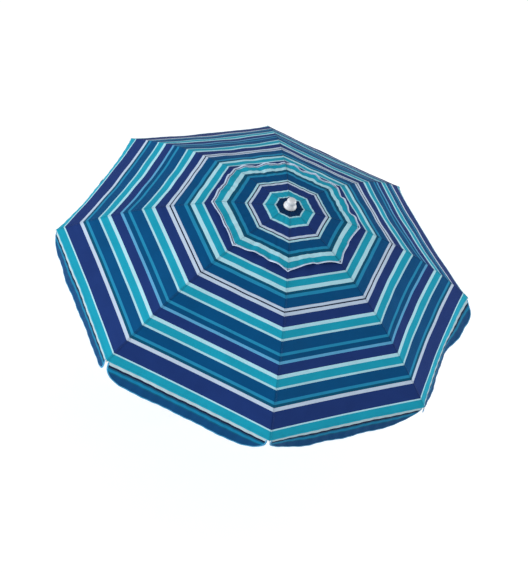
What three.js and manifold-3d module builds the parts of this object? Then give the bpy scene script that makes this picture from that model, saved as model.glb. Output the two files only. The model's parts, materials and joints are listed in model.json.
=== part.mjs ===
// A beach umbrella: eight curved ribs under a striped octagonal canopy with a vent cap,
// a runner and eight stretchers on a telescopic pole, and a spike for the sand.
// Millimetres, +Z up along the pole, origin at the tip of the spike. Canopy closed up or
// down: the ribs turn on the crown and the stretchers carry the runner along the pole.
import * as THREE from "three";
import { mergeVertices } from "three/addons/utils/BufferGeometryUtils.js";
import Module from "manifold-3d";

const wasm = await Module();
wasm.setup();

// Canopy
const ribCount = 8;
const rimHeight = 1100; // the rim's plane above the spike's tip
const ribReach = 900; // pole axis to rib tip
const clothThickness = 1;
const seamGap = 0.5; // from a panel's edge to the rib's centre line
const clothSag = 6; // how far a panel dips between its ribs
const flapDepth = 100;
const flapCorner = [85, 62]; // width and height of a flap's rounded lower corners
const flapGap = 9; // from a flap's side to the rib's centre line
const flapFlare = 9; // how far a flap's hem stands out from the rim
// Radius and height above the rim of the cloth where it lies on a rib.
const clothLine = [
  [236, 317], [311, 300], [383, 275], [476, 241], [572, 200],
  [652, 158], [739, 106], [820, 54], [ribReach, 0],
];
// The same for the vent cap, from its hole to its hem.
const capLine = [[11, 351.5], [59, 349.5], [103, 341], [179, 329.5], [254, 319], [312, 303]];
const finialBase = 353; // height of the finial's foot above the rim
const strapSize = [1.6, 24, 88];
const strapPanel = 3; // counted from the panel that starts on +X
const strapAlong = -0.06; // from the middle of its panel, as a share of the panel's width

// Ribs and stretchers
const ribRadius = 2.25;
const ribDrop = 6.5; // rib axis below the cloth
const ribEnd = 895;
const hingeRadius = 21; // pole axis to the rib and stretcher pivots
const crownHinge = 326; // height of the rib pivots above the rim
const jointRadius = 425; // where on the rib the stretcher's joint sits
const pinDrop = 9; // stretcher pin below the rib's axis
const stretcherRadius = 2;
const eyeRadius = 4;
const eyeHole = 1.9;
const pinRadius = 1.4;
const wireRadius = 1;
const wireChannel = 1.45;
const slotWidth = 5.6;
const tipRadius = 4;
const tipLength = 24;

// Pole
const tubeRadius = 14;
const tubeWall = 1.2;
const lowerRadius = 12;
const lowerWall = 1.1;
const tubeFoot = -700; // the upper tube's lower end, from the rim
const spikeTop = 128;
const lowerTop = 1000;
const fit = 0.4; // running gap between pieces

const azimuthOf = (index) => (index * 2 * Math.PI) / ribCount;
const halfGore = Math.PI / ribCount;

const paint = (color, roughness, metalness = 0) =>
  new THREE.MeshStandardMaterial({ color, roughness, metalness });
const materials = {
  cloth: paint(0x1590b5, 0.85),
  capCloth: paint(0x1f3f8a, 0.85),
  strap: paint(0x14284f, 0.85),
  plastic: paint(0xf2f2ee, 0.4),
  metal: paint(0xe9ebec, 0.35, 0.4),
  wire: paint(0xb9bcc0, 0.3, 0.9),
  knob: paint(0x2b4f92, 0.45),
};

// Solid helpers

function plainGeometry(geometry) {
  const bare = geometry.clone();
  for (const name of Object.keys(bare.attributes)) {
    if (name !== "position") bare.deleteAttribute(name);
  }
  return mergeVertices(bare, 1e-4);
}

function signedVolume(geometry) {
  const at = geometry.attributes.position;
  const index = geometry.index.array;
  const [a, b, c] = [new THREE.Vector3(), new THREE.Vector3(), new THREE.Vector3()];
  let sum = 0;
  for (let i = 0; i < index.length; i += 3) {
    a.fromBufferAttribute(at, index[i]);
    b.fromBufferAttribute(at, index[i + 1]);
    c.fromBufferAttribute(at, index[i + 2]);
    sum += a.dot(b.cross(c)) / 6;
  }
  return sum;
}

// Merges a geometry's vertices and turns it right side out.
function closed(geometry) {
  const bare = plainGeometry(geometry);
  if (signedVolume(bare) < 0) {
    const index = bare.index.array;
    for (let i = 0; i < index.length; i += 3) {
      [index[i], index[i + 1]] = [index[i + 1], index[i]];
    }
  }
  return bare;
}

function solid(geometry) {
  const bare = closed(geometry);
  return new wasm.Manifold(new wasm.Mesh({
    numProp: 3,
    vertProperties: bare.attributes.position.array,
    triVerts: new Uint32Array(bare.index.array),
  }));
}

function toGeometry(shape) {
  const mesh = shape.getMesh();
  const geometry = new THREE.BufferGeometry();
  geometry.setAttribute("position", new THREE.BufferAttribute(mesh.vertProperties, 3));
  geometry.setIndex(new THREE.BufferAttribute(mesh.triVerts, 1));
  return geometry;
}

const joined = (first, ...rest) =>
  rest.reduce((sum, geometry) => sum.add(solid(geometry)), solid(first));
const without = (shape, ...cutters) =>
  cutters.reduce((left, cutter) => left.subtract(solid(cutter)), shape);

// Shape helpers. In a rib's own frame +X points outward along the rib and +Y is its hinge axis.

function lathe(points, segments = 32) {
  const outline = points.map(([radius, height]) => new THREE.Vector2(radius, height));
  return new THREE.LatheGeometry(outline, segments).rotateX(Math.PI / 2);
}

const ring = (inner, outer, low, high, segments = 32) =>
  lathe([[inner, low], [outer, low], [outer, high], [inner, high], [inner, low]], segments);

// A short cylinder on the hinge axis.
const hingeDisc = (radius, width, x, z, sides = 12) =>
  new THREE.CylinderGeometry(radius, radius, width, sides).translate(x, 0, z);

const block = (sizes, x, y, z) => new THREE.BoxGeometry(...sizes).translate(x, y, z);

function rod(curve, radius, steps, sides = 8) {
  const section = new THREE.Shape();
  for (let i = 0; i < sides; i++) {
    const angle = ((i + 0.5) * 2 * Math.PI) / sides;
    const point = [radius * Math.cos(angle), radius * Math.sin(angle)];
    if (i) section.lineTo(...point);
    else section.moveTo(...point);
  }
  section.closePath();
  return new THREE.ExtrudeGeometry(section, { steps, extrudePath: curve, bevelEnabled: false });
}

const ringWire = (height, radius) =>
  new THREE.TorusGeometry(hingeRadius, radius, 6, 32).translate(0, 0, height);

const profileCurve = (points) =>
  new THREE.CatmullRomCurve3(points.map(([radius, height]) => new THREE.Vector3(radius, 0, height)));

// The place and the outward direction on a profile at a given radius.
function onCurve(curve, radius) {
  let [low, high] = [0, 1];
  for (let i = 0; i < 40; i++) {
    const middle = (low + high) / 2;
    if (curve.getPoint(middle).x < radius) low = middle;
    else high = middle;
  }
  return { at: curve.getPoint(low), along: curve.getTangent(low) };
}

const clothCurve = profileCurve(clothLine);
const capCurve = profileCurve(capLine);
const ribCurve = profileCurve([
  [hingeRadius, crownHinge], [60, 327], [110, 325], [180, 319], [240, 309.5],
  ...clothLine.slice(1, -1).map(([radius, height]) => [radius, height - ribDrop]),
  [ribEnd, 3.5 - ribDrop],
]);

// The stretcher's pin lies square below the rib. Both arms of the linkage have the same
// length, so the runner stays on the pole and level as the ribs turn.
const ribAtJoint = onCurve(ribCurve, jointRadius);
const ribSlope = Math.atan2(ribAtJoint.along.z, ribAtJoint.along.x);
const pin = new THREE.Vector3(
  ribAtJoint.at.x + pinDrop * Math.sin(ribSlope), 0, ribAtJoint.at.z - pinDrop * Math.cos(ribSlope));
const runnerHinge = 2 * pin.z - crownHinge;

// Cloth: a station is a place on the rib's line, with how far the cloth's edge stays from
// the rib and how deep the panel dips there.

function clothSheet(stations, across) {
  const middle = stations.map((station, row) => {
    const before = stations[Math.max(row - 1, 0)];
    const after = stations[Math.min(row + 1, stations.length - 1)];
    const along = new THREE.Vector2(after.radius - before.radius, after.height - before.height);
    along.normalize();
    const points = [];
    for (let i = 0; i <= across; i++) {
      const side = (2 * i) / across - 1;
      const width = station.radius * Math.sin(halfGore) - station.inset / Math.cos(halfGore);
      const dip = station.dip * (1 - side * side);
      points.push(new THREE.Vector3(
        station.radius * Math.cos(halfGore) + dip * along.y, side * width, station.height - dip * along.x));
    }
    return points;
  });
  const positions = [];
  const normal = new THREE.Vector3();
  for (const face of [1, -1]) {
    middle.forEach((points, row) => points.forEach((point, i) => {
      const up = middle[Math.max(row - 1, 0)][i];
      const down = middle[Math.min(row + 1, middle.length - 1)][i];
      normal.subVectors(down, up).cross(new THREE.Vector3(0, 1, 0)).normalize();
      const place = point.clone().addScaledVector(normal, (-face * clothThickness) / 2);
      positions.push(place.x, place.y, place.z);
    }));
  }
  const columns = across + 1;
  const layer = columns * stations.length;
  const index = [];
  const quad = (a, b, c, d) => index.push(a, b, c, a, c, d);
  for (let row = 0; row + 1 < stations.length; row++) {
    for (let i = 0; i < across; i++) {
      const corner = row * columns + i;
      quad(corner, corner + columns, corner + columns + 1, corner + 1);
      quad(layer + corner, layer + corner + 1, layer + corner + columns + 1, layer + corner + columns);
    }
    const [first, last] = [row * columns, row * columns + across];
    quad(first, layer + first, layer + first + columns, first + columns);
    quad(last, last + columns, layer + last + columns, layer + last);
  }
  const bottom = (stations.length - 1) * columns;
  for (let i = 0; i < across; i++) {
    quad(i, i + 1, layer + i + 1, layer + i);
    quad(bottom + i, layer + bottom + i, layer + bottom + i + 1, bottom + i + 1);
  }
  const geometry = new THREE.BufferGeometry();
  geometry.setAttribute("position", new THREE.Float32BufferAttribute(positions, 3));
  geometry.setIndex(index);
  return closed(geometry);
}

const smooth = (low, high, value) => THREE.MathUtils.smoothstep(value, low, high);

function panelStations() {
  const stations = clothCurve.getPoints(12).map((point) => ({
    radius: point.x, height: point.z, inset: seamGap,
    dip: clothSag * smooth(0.47 * ribReach, 0.7 * ribReach, point.x),
  }));
  stations.pop();
  stations.push({ radius: ribReach - 2, height: 1.4, inset: seamGap, dip: clothSag });
  // The flap hangs from the rim, with rounded lower corners.
  const [cornerWidth, cornerHeight] = flapCorner;
  const straight = flapDepth - cornerHeight;
  for (const depth of [2, 0.5 * straight, straight, flapDepth - 14, flapDepth]) {
    const intoCorner = Math.max(0, depth - straight) / cornerHeight;
    stations.push({
      radius: ribReach + 1 + (flapFlare * depth) / flapDepth, height: -depth, dip: clothSag,
      inset: flapGap + cornerWidth * (1 - Math.sqrt(1 - intoCorner * intoCorner)),
    });
  }
  return stations;
}

const capStations = () => capCurve.getPoints(7).map((point) => ({
  radius: point.x, height: point.z, inset: seamGap, dip: 0,
}));

// Frame pieces

function ribSolid() {
  const eye = hingeDisc(eyeRadius, 2 * ribRadius, hingeRadius, crownHinge);
  const body = joined(rod(ribCurve, ribRadius, 20), eye);
  return without(body, hingeDisc(eyeHole, 10, hingeRadius, crownHinge, 10));
}

function stretcherSolid() {
  const inner = new THREE.Vector3(hingeRadius, 0, runnerHinge);
  const ends = [inner, pin].map((at) => hingeDisc(eyeRadius, 2 * stretcherRadius, at.x, at.z));
  const holes = [inner, pin].map((at) => hingeDisc(eyeHole, 10, at.x, at.z, 10));
  return without(joined(rod(new THREE.LineCurve3(inner, pin), stretcherRadius, 1), ...ends), ...holes);
}

// A clip round the rib with two cheeks below it and the stretcher's pin between them.
function ribJointSolid() {
  const [length, width, top, low] = [16, 10, 3.9, -14];
  const roof = -(pinDrop - eyeRadius - fit);
  const shell = without(
    joined(block([length, width, top - low], 0, 0, (top + low) / 2)),
    block([length + 4, 2 * (stretcherRadius + 0.6), roof - low + 4], 0, 0, (roof + low - 4) / 2),
    new THREE.CylinderGeometry(ribRadius + fit, ribRadius + fit, length + 4, 10).rotateZ(Math.PI / 2));
  const geometry = toGeometry(shell.add(solid(hingeDisc(pinRadius, width - 1, 0, -pinDrop, 10))));
  return geometry.rotateY(-ribSlope).translate(ribAtJoint.at.x, 0, ribAtJoint.at.z);
}

// A blunt cap over the rib's end, bored for it from the inner side.
function ribTipSolid() {
  const bore = ribRadius + fit;
  const depth = tipLength - 7;
  const geometry = closed(lathe([
    [0, depth], [bore, depth], [bore, 0], [tipRadius, 0], [tipRadius, tipLength - 4],
    [tipRadius - 1.2, tipLength - 1], [0, tipLength],
  ], 12));
  const end = ribCurve.getPoint(1);
  const along = ribCurve.getTangent(1);
  geometry.rotateY(Math.PI / 2 - Math.atan2(along.z, along.x));
  return geometry.translate(
    end.x - (depth - 1) * along.x, 0, end.z - (depth - 1) * along.z);
}

function slots(low, high, floor) {
  const cutters = [];
  for (let i = 0; i < ribCount; i++) {
    cutters.push(block([20, slotWidth, high - low], floor + 10, 0, (low + high) / 2).rotateZ(azimuthOf(i)));
  }
  return cutters;
}

function crownSolid() {
  const [underside, top] = [crownHinge - 14, crownHinge + 14];
  const body = joined(lathe([
    [0, underside - 40], [tubeRadius - tubeWall - fit, underside - 40],
    [tubeRadius - tubeWall - fit, underside], [27, underside], [27, top - 4], [22, top],
    [7, top], [7, finialBase + 13], [0, finialBase + 13],
  ]));
  return without(body, ...slots(underside - 5, crownHinge + 5, 15.5), ringWire(crownHinge, wireChannel));
}

function runnerSolid() {
  const [base, top] = [runnerHinge - 62, runnerHinge + 8];
  const [bore, sleeve] = [tubeRadius + fit + 0.1, 18];
  const body = joined(lathe([
    [bore, base], [21, base], [21, base + 6], [sleeve, base + 9], [sleeve, runnerHinge - 14],
    [27, runnerHinge - 7], [27, top], [bore, top], [bore, base],
  ]), block([12, 16, 20], 21, 0, runnerHinge - 34).rotateZ(-Math.PI / 2));
  const pocket = new THREE.CylinderGeometry(4.4, 4.4, 20, 16).rotateZ(Math.PI / 2)
    .translate(29.2, 0, runnerHinge - 34).rotateZ(-Math.PI / 2);
  return without(body, ring(5, bore, base - 1, top + 1), ...slots(runnerHinge - 5, top + 2, 16.4),
    ringWire(runnerHinge, wireChannel), pocket);
}

// The button that frees the runner, in the runner's pocket on the front.
const catchButton = () => new THREE.CylinderGeometry(4, 4, 7, 16).rotateZ(Math.PI / 2)
  .translate(26, 0, runnerHinge - 34).rotateZ(-Math.PI / 2);

// A round knob on a dished foot, bored for the crown's post.
const finialSolid = () => joined(lathe([
  [0, 14.5], [7.4, 14.5], [7.4, 0], [25.8, 0], [26.8, 3.5], [25.8, 8], [23, 12.2], [19.8, 15.5],
  [18.4, 19], [18.6, 24], [19, 29], [18, 34], [14.6, 38], [8, 40.8], [0, 41.5],
])).translate([0, 0, finialBase]);

function collarSolid() {
  const [low, high, outer] = [tubeFoot - 28, tubeFoot + 32, 20];
  const body = joined(lathe([
    [lowerRadius + fit, low], [outer - 2, low], [outer, low + 3], [outer, high - 3], [outer - 2, high],
    [tubeRadius + fit, high], [tubeRadius + fit, tubeFoot - fit], [lowerRadius + fit, tubeFoot - fit],
    [lowerRadius + fit, low],
  ]));
  const screwHole = new THREE.CylinderGeometry(3.5, 3.5, 20, 12).rotateZ(Math.PI / 2)
    .translate(20, 0, tubeFoot - 14).rotateZ(-Math.PI / 2);
  return without(body, screwHole);
}

// A five-lobed knob on a short screw, on the front of the collar.
function clampKnobSolid() {
  const outline = new THREE.Shape();
  for (let i = 0; i < 40; i++) {
    const angle = (i * 2 * Math.PI) / 40;
    const radius = 14 + 2.2 * Math.cos(5 * angle);
    const point = [radius * Math.cos(angle), radius * Math.sin(angle)];
    if (i) outline.lineTo(...point);
    else outline.moveTo(...point);
  }
  outline.closePath();
  const head = new THREE.ExtrudeGeometry(outline, { depth: 11, bevelEnabled: false })
    .rotateY(Math.PI / 2).translate(24, 0, 0);
  const screw = new THREE.CylinderGeometry(3, 3, 16, 12).rotateZ(Math.PI / 2).translate(20.5, 0, 0);
  const whole = toGeometry(joined(head, screw));
  return whole.translate(0, 0, tubeFoot - 14).rotateZ(-Math.PI / 2);
}

const spikeSolid = () => joined(lathe([
  [0, 0], [2.2, 2], [5, 30], [9.5, 84], [11, 118], [15, 120], [15, spikeTop - 1], [14.4, spikeTop - fit],
  [lowerRadius - lowerWall - fit, spikeTop - fit], [lowerRadius - lowerWall - fit, spikeTop + 34],
  [8.6, spikeTop + 37], [0, spikeTop + 37],
], 20));

// A folded strap that hangs from the rim, outside one panel's flap.
function strapSolid() {
  const [thick, wide, long] = strapSize;
  const face = (ribReach + 1) * Math.cos(halfGore) + clothThickness / 2 + fit;
  const shift = strapAlong * 2 * ribReach * Math.sin(halfGore);
  const lean = Math.atan2(flapFlare, flapDepth);
  return block([thick, wide, long], thick / 2, shift, -6 - long / 2).rotateY(-lean).translate(face, 0, 0);
}

// The scene graph

const part = new THREE.Group();
const head = new THREE.Group(); // all that goes up and down with the upper tube
head.position.z = rimHeight;
part.add(head);

function piece(parent, name, shape, material, turn = 0) {
  const geometry = shape.isBufferGeometry ? closed(shape) : toGeometry(shape);
  const mesh = new THREE.Mesh(geometry, material.clone());
  mesh.name = name;
  mesh.rotation.z = turn;
  parent.add(mesh);
}

for (let i = 0; i < ribCount; i++) {
  const turn = azimuthOf(i);
  const label = i + 1;
  const middle = turn + halfGore;
  piece(head, `canopy_panel_${label}`, clothSheet(panelStations(), 4), materials.cloth, middle);
  piece(head, `vent_gore_${label}`, clothSheet(capStations(), 4), materials.capCloth, middle);
  piece(head, `rib_${label}`, ribSolid(), materials.metal, turn);
  piece(head, `rib_joint_${label}`, ribJointSolid(), materials.wire, turn);
  piece(head, `rib_tip_${label}`, ribTipSolid(), materials.plastic, turn);
  piece(head, `stretcher_${label}`, stretcherSolid(), materials.metal, turn);
}
piece(head, "tie_strap", strapSolid(), materials.strap, azimuthOf(strapPanel) + halfGore);
piece(head, "crown", crownSolid(), materials.plastic);
piece(head, "crown_wire", ringWire(crownHinge, wireRadius), materials.wire);
piece(head, "runner", runnerSolid(), materials.plastic);
piece(head, "runner_wire", ringWire(runnerHinge, wireRadius), materials.wire);
piece(head, "runner_catch", catchButton(), materials.knob);
piece(head, "finial", finialSolid(), materials.plastic);
const upperTube = ring(tubeRadius - tubeWall, tubeRadius, tubeFoot, crownHinge - 14 - fit);
piece(head, "upper_tube", upperTube, materials.metal);
piece(head, "clamp_collar", collarSolid(), materials.plastic);
piece(head, "clamp_knob", clampKnobSolid(), materials.knob);
piece(part, "lower_tube", ring(lowerRadius - lowerWall, lowerRadius, spikeTop, lowerTop), materials.metal);
piece(part, "ground_spike", spikeSolid(), materials.plastic);

export default part;
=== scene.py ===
import json
import math

import bmesh
import bpy
import numpy as np
from mathutils import Matrix, Vector
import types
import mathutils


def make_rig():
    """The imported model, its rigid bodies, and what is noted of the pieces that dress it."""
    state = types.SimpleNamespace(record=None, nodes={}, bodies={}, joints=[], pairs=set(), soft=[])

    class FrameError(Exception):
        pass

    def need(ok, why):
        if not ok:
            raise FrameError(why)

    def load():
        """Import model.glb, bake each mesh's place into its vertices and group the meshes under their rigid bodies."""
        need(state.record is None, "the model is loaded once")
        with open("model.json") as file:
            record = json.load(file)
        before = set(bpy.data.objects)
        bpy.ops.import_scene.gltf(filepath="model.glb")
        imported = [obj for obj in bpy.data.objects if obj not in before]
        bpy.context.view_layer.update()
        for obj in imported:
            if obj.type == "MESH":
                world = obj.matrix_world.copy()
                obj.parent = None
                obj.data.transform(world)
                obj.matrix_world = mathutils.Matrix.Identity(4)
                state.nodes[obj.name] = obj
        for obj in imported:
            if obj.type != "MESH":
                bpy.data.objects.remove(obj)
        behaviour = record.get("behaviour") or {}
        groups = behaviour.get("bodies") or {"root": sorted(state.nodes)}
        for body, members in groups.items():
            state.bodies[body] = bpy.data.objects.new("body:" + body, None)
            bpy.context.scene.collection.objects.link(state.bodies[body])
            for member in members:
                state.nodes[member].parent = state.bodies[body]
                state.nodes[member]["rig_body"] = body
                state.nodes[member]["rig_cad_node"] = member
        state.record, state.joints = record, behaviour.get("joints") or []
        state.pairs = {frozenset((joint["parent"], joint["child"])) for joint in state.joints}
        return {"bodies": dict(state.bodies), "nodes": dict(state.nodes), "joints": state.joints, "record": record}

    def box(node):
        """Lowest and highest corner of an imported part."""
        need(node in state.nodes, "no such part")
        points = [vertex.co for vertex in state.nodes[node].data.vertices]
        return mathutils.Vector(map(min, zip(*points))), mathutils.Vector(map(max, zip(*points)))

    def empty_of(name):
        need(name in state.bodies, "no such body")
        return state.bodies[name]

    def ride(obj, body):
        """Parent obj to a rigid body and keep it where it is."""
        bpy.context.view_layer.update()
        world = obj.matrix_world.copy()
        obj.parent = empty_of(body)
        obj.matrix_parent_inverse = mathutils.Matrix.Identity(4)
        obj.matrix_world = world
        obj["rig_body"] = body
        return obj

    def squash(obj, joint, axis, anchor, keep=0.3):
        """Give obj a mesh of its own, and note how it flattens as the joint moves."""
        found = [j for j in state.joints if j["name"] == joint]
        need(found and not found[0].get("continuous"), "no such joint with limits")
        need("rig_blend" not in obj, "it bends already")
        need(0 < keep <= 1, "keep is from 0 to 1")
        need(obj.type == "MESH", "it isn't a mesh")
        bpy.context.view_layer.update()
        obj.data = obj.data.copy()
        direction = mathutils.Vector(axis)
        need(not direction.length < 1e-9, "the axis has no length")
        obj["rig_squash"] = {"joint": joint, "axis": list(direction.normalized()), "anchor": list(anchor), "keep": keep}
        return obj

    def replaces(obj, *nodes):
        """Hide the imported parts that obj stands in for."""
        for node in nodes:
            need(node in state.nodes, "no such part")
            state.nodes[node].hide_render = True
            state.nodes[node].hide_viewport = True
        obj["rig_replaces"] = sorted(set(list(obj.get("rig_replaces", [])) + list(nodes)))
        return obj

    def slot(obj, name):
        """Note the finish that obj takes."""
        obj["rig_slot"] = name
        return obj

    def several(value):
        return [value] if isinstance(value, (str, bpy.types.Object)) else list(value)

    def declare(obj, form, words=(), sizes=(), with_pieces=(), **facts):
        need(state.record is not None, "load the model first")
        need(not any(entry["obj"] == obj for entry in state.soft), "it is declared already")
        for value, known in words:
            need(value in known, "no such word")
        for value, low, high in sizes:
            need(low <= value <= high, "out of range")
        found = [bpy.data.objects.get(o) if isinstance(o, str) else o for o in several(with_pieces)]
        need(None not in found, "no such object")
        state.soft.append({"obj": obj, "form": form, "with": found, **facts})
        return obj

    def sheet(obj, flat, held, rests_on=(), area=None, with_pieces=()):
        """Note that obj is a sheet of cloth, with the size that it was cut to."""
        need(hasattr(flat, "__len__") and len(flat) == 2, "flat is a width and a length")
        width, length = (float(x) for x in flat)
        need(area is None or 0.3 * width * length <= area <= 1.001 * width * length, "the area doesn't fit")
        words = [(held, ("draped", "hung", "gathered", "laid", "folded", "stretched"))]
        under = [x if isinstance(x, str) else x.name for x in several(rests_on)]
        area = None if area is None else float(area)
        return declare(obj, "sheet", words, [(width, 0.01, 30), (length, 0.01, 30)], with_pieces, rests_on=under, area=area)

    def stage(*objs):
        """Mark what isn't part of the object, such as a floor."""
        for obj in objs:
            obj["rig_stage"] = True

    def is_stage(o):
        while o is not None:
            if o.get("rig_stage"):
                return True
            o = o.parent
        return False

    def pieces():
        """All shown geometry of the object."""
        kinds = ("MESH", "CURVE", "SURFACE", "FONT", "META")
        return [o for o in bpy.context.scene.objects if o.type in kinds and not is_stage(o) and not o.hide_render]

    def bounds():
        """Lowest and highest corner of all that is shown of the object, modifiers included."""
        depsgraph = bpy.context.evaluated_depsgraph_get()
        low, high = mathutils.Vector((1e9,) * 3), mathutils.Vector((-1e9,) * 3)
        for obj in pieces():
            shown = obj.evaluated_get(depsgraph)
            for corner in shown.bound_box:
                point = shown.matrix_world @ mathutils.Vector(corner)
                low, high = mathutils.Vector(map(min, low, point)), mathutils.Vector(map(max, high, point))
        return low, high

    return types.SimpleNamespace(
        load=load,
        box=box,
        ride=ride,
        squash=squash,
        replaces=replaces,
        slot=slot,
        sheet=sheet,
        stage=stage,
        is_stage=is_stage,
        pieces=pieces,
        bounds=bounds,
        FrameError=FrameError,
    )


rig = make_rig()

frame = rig.load()
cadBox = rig.bounds()
joints = {joint["name"]: joint for joint in frame["joints"]}
print("frame loaded:", len(frame["nodes"]), "nodes")

# Camera: a long lens from above the front, rolled a little
shot = {
    "place": (-0.9014, -3.4167, 4.673),
    "look": (0.1785, 0.6662, -0.7241),
    "up": (-0.1576, 0.7457, 0.6473),
    "lens": 74.5,
}


def makeCamera():
    data = bpy.data.cameras.new("umbrellaCamera")
    data.lens = shot["lens"]
    camera = bpy.data.objects.new("umbrellaCamera", data)
    bpy.context.scene.collection.objects.link(camera)
    look = Vector(shot["look"]).normalized()
    right = look.cross(Vector(shot["up"])).normalized()
    turn = Matrix((right, right.cross(look), -look)).transposed()
    camera.matrix_world = Matrix.Translation(shot["place"]) @ turn.to_4x4()
    bpy.context.scene.camera = camera


makeCamera()

# Light: two wide soft sources low on the left and right, an even sky and a white floor
studio = {
    "sky": (0.98, 0.99, 1.0),
    "skyStrength": 0.51,
    "lamps": {  # bearing and height in degrees, spread in degrees and power
        "keyLight": (192, 12, 30, 3.0),
        "fillLight": (5, 12, 40, 2.3),
    },
    "lampDistance": 6.0,
    "floorSize": 160.0,
    "floorColour": (0.94, 0.943, 0.946),
    "floorGlow": 0.28,
}

colours = {  # printed colours of the cloth, as they look on screen
    "teal": (26, 168, 198),
    "white": (188, 240, 255),
    "pale": (182, 232, 247),
    "navy": (30, 58, 124),
    "lavender": (204, 224, 248),
    "deepTeal": (6, 88, 122),
    "lightBlue": (36, 146, 192),
    "blue": (0, 82, 136),
    "midBlue": (0, 82, 132),
    "periwinkle": (97, 176, 223),
    "ink": (12, 28, 62),
    "darkBlue": (6, 50, 92),
    # painted shade: darker copies of the white, light blue and blue print, for the shade that falls on the hanging flap
    "shadedWhite": (178, 206, 216),
    "shadedLightBlue": (10, 122, 166),
    "shadedBlue": (3, 70, 120),
    "thread": (18, 44, 88),
    "plasticWhite": (205, 208, 212),
    "paleThread": (176, 190, 224),
    "steelWhite": (232, 234, 235),
    "zinc": (196, 199, 203),
    "knobBlue": (30, 74, 150),
}


def linear(name, gain=1.0):
    def channel(value):
        value = value / 255
        return gain * (value / 12.92 if value <= 0.04045 else ((value + 0.055) / 1.055) ** 2.4)

    return (*(channel(value) for value in colours[name]), 1.0)


# Node helpers

def add(tree, kind, inputs=None, **settings):
    made = tree.nodes.new(kind)
    for name, value in settings.items():
        setattr(made, name, value)
    for name, value in (inputs or {}).items():
        if isinstance(value, bpy.types.NodeSocket):
            tree.links.new(value, made.inputs[name])
        else:
            made.inputs[name].default_value = value
    return made


def sums(tree, operation, first, second=0.0, clamp=False):
    made = add(tree, "ShaderNodeMath", {0: first, 1: second}, operation=operation, use_clamp=clamp)
    return made.outputs[0]


def fade(tree, value, low, high, atLow=0.0, atHigh=1.0):
    made = add(tree, "ShaderNodeMapRange", {
        "Value": value, "From Min": low, "From Max": high, "To Min": atLow, "To Max": atHigh,
    })
    return made.outputs["Result"]


def mixColour(tree, share, first, second, blend="MIX"):
    made = tree.nodes.new("ShaderNodeMix")
    made.data_type = "RGBA"
    made.blend_type = blend
    for slot, value in zip(("Factor_Float", "A_Color", "B_Color"), (share, first, second)):
        socket = next(s for s in made.inputs if s.identifier == slot)
        if isinstance(value, bpy.types.NodeSocket):
            tree.links.new(value, socket)
        else:
            socket.default_value = value
    return next(s for s in made.outputs if s.identifier == "Result_Color")


def newMaterial(name, **shaderValues):
    material = bpy.data.materials.new(name)
    material.use_nodes = True
    tree = material.node_tree
    shader = tree.nodes["Principled BSDF"]
    for socket, value in shaderValues.items():
        shader.inputs[socket.replace("_", " ")].default_value = value
    return material, tree, shader


def bump(tree, shader, height, strength, distance):
    made = add(tree, "ShaderNodeBump", {"Height": height, "Strength": strength, "Distance": distance})
    tree.links.new(made.outputs["Normal"], shader.inputs["Normal"])


def noiseAt(tree, vector, scale, detail=3.0, roughness=0.5):
    made = add(tree, "ShaderNodeTexNoise", {
        "Vector": vector, "Scale": scale, "Detail": detail, "Roughness": roughness,
    })
    return made.outputs["Fac"]


# Cloth print: widths in millimetres, from the rim fold towards the pole
printed = {
    "main": [
        ("teal", 33), ("white", 5.5), ("navy", 68.5), ("lavender", 14), ("deepTeal", 12),
        ("lightBlue", 12), ("blue", 45), ("pale", 7), ("teal", 33), ("white", 15), ("navy", 40),
        ("periwinkle", 12), ("midBlue", 20), ("lightBlue", 12.5), ("blue", 47.5), ("pale", 8),
        ("teal", 33), ("white", 15), ("navy", 44), ("lavender", 14), ("ink", 7), ("lavender", 10),
        ("blue", 43), ("lightBlue", 13.5), ("deepTeal", 10.5), ("white", 18), ("teal", 31),
        ("pale", 7), ("navy", 120),
    ],
    # the flap's print uses the painted-shade copies of white, light blue and blue
    "flap": [
        ("shadedWhite", 14), ("ink", 11), ("deepTeal", 8), ("shadedLightBlue", 14), ("deepTeal", 6), ("shadedBlue", 70),
    ],
    "cap": [
        ("lavender", 6), ("ink", 2.5), ("lavender", 4.5), ("teal", 27), ("white", 20), ("deepTeal", 17),
        ("lightBlue", 14), ("blue", 42), ("pale", 9), ("ink", 6), ("lavender", 11), ("navy", 46),
        ("white", 10), ("teal", 36), ("pale", 8), ("darkBlue", 90),
    ],
    "gain": 0.8,
    "weave": 0.0011,  # thread spacing in metres
    # painted shade: how dark the cloth is painted along the seam over the rib
    "seamShade": 0.72,
    "underside": 0.42,  # how far the inner face fades to grey
}


def stripes(tree, along, names):
    total = sum(width for _, width in names)
    ramp = tree.nodes.new("ShaderNodeValToRGB")
    ramp.color_ramp.interpolation = "CONSTANT"
    stops = ramp.color_ramp.elements
    stops.remove(stops[1])
    stops[0].position = 0
    stops[0].color = linear(names[0][0], printed["gain"])
    place = names[0][1]
    for name, width in names[1:]:
        stops.new(place / total).color = linear(name, printed["gain"])
        place += width
    tree.links.new(sums(tree, "DIVIDE", along, total / 1000), ramp.inputs["Fac"])
    return ramp.outputs["Color"]


def weave(tree, uv, direction):
    made = add(tree, "ShaderNodeTexWave", {
        "Vector": uv, "Scale": 2 * math.pi / (20 * printed["weave"]), "Distortion": 0.4,
        "Detail": 1.0, "Detail Scale": 3.0,
    }, bands_direction=direction)
    return made.outputs["Fac"]


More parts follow.
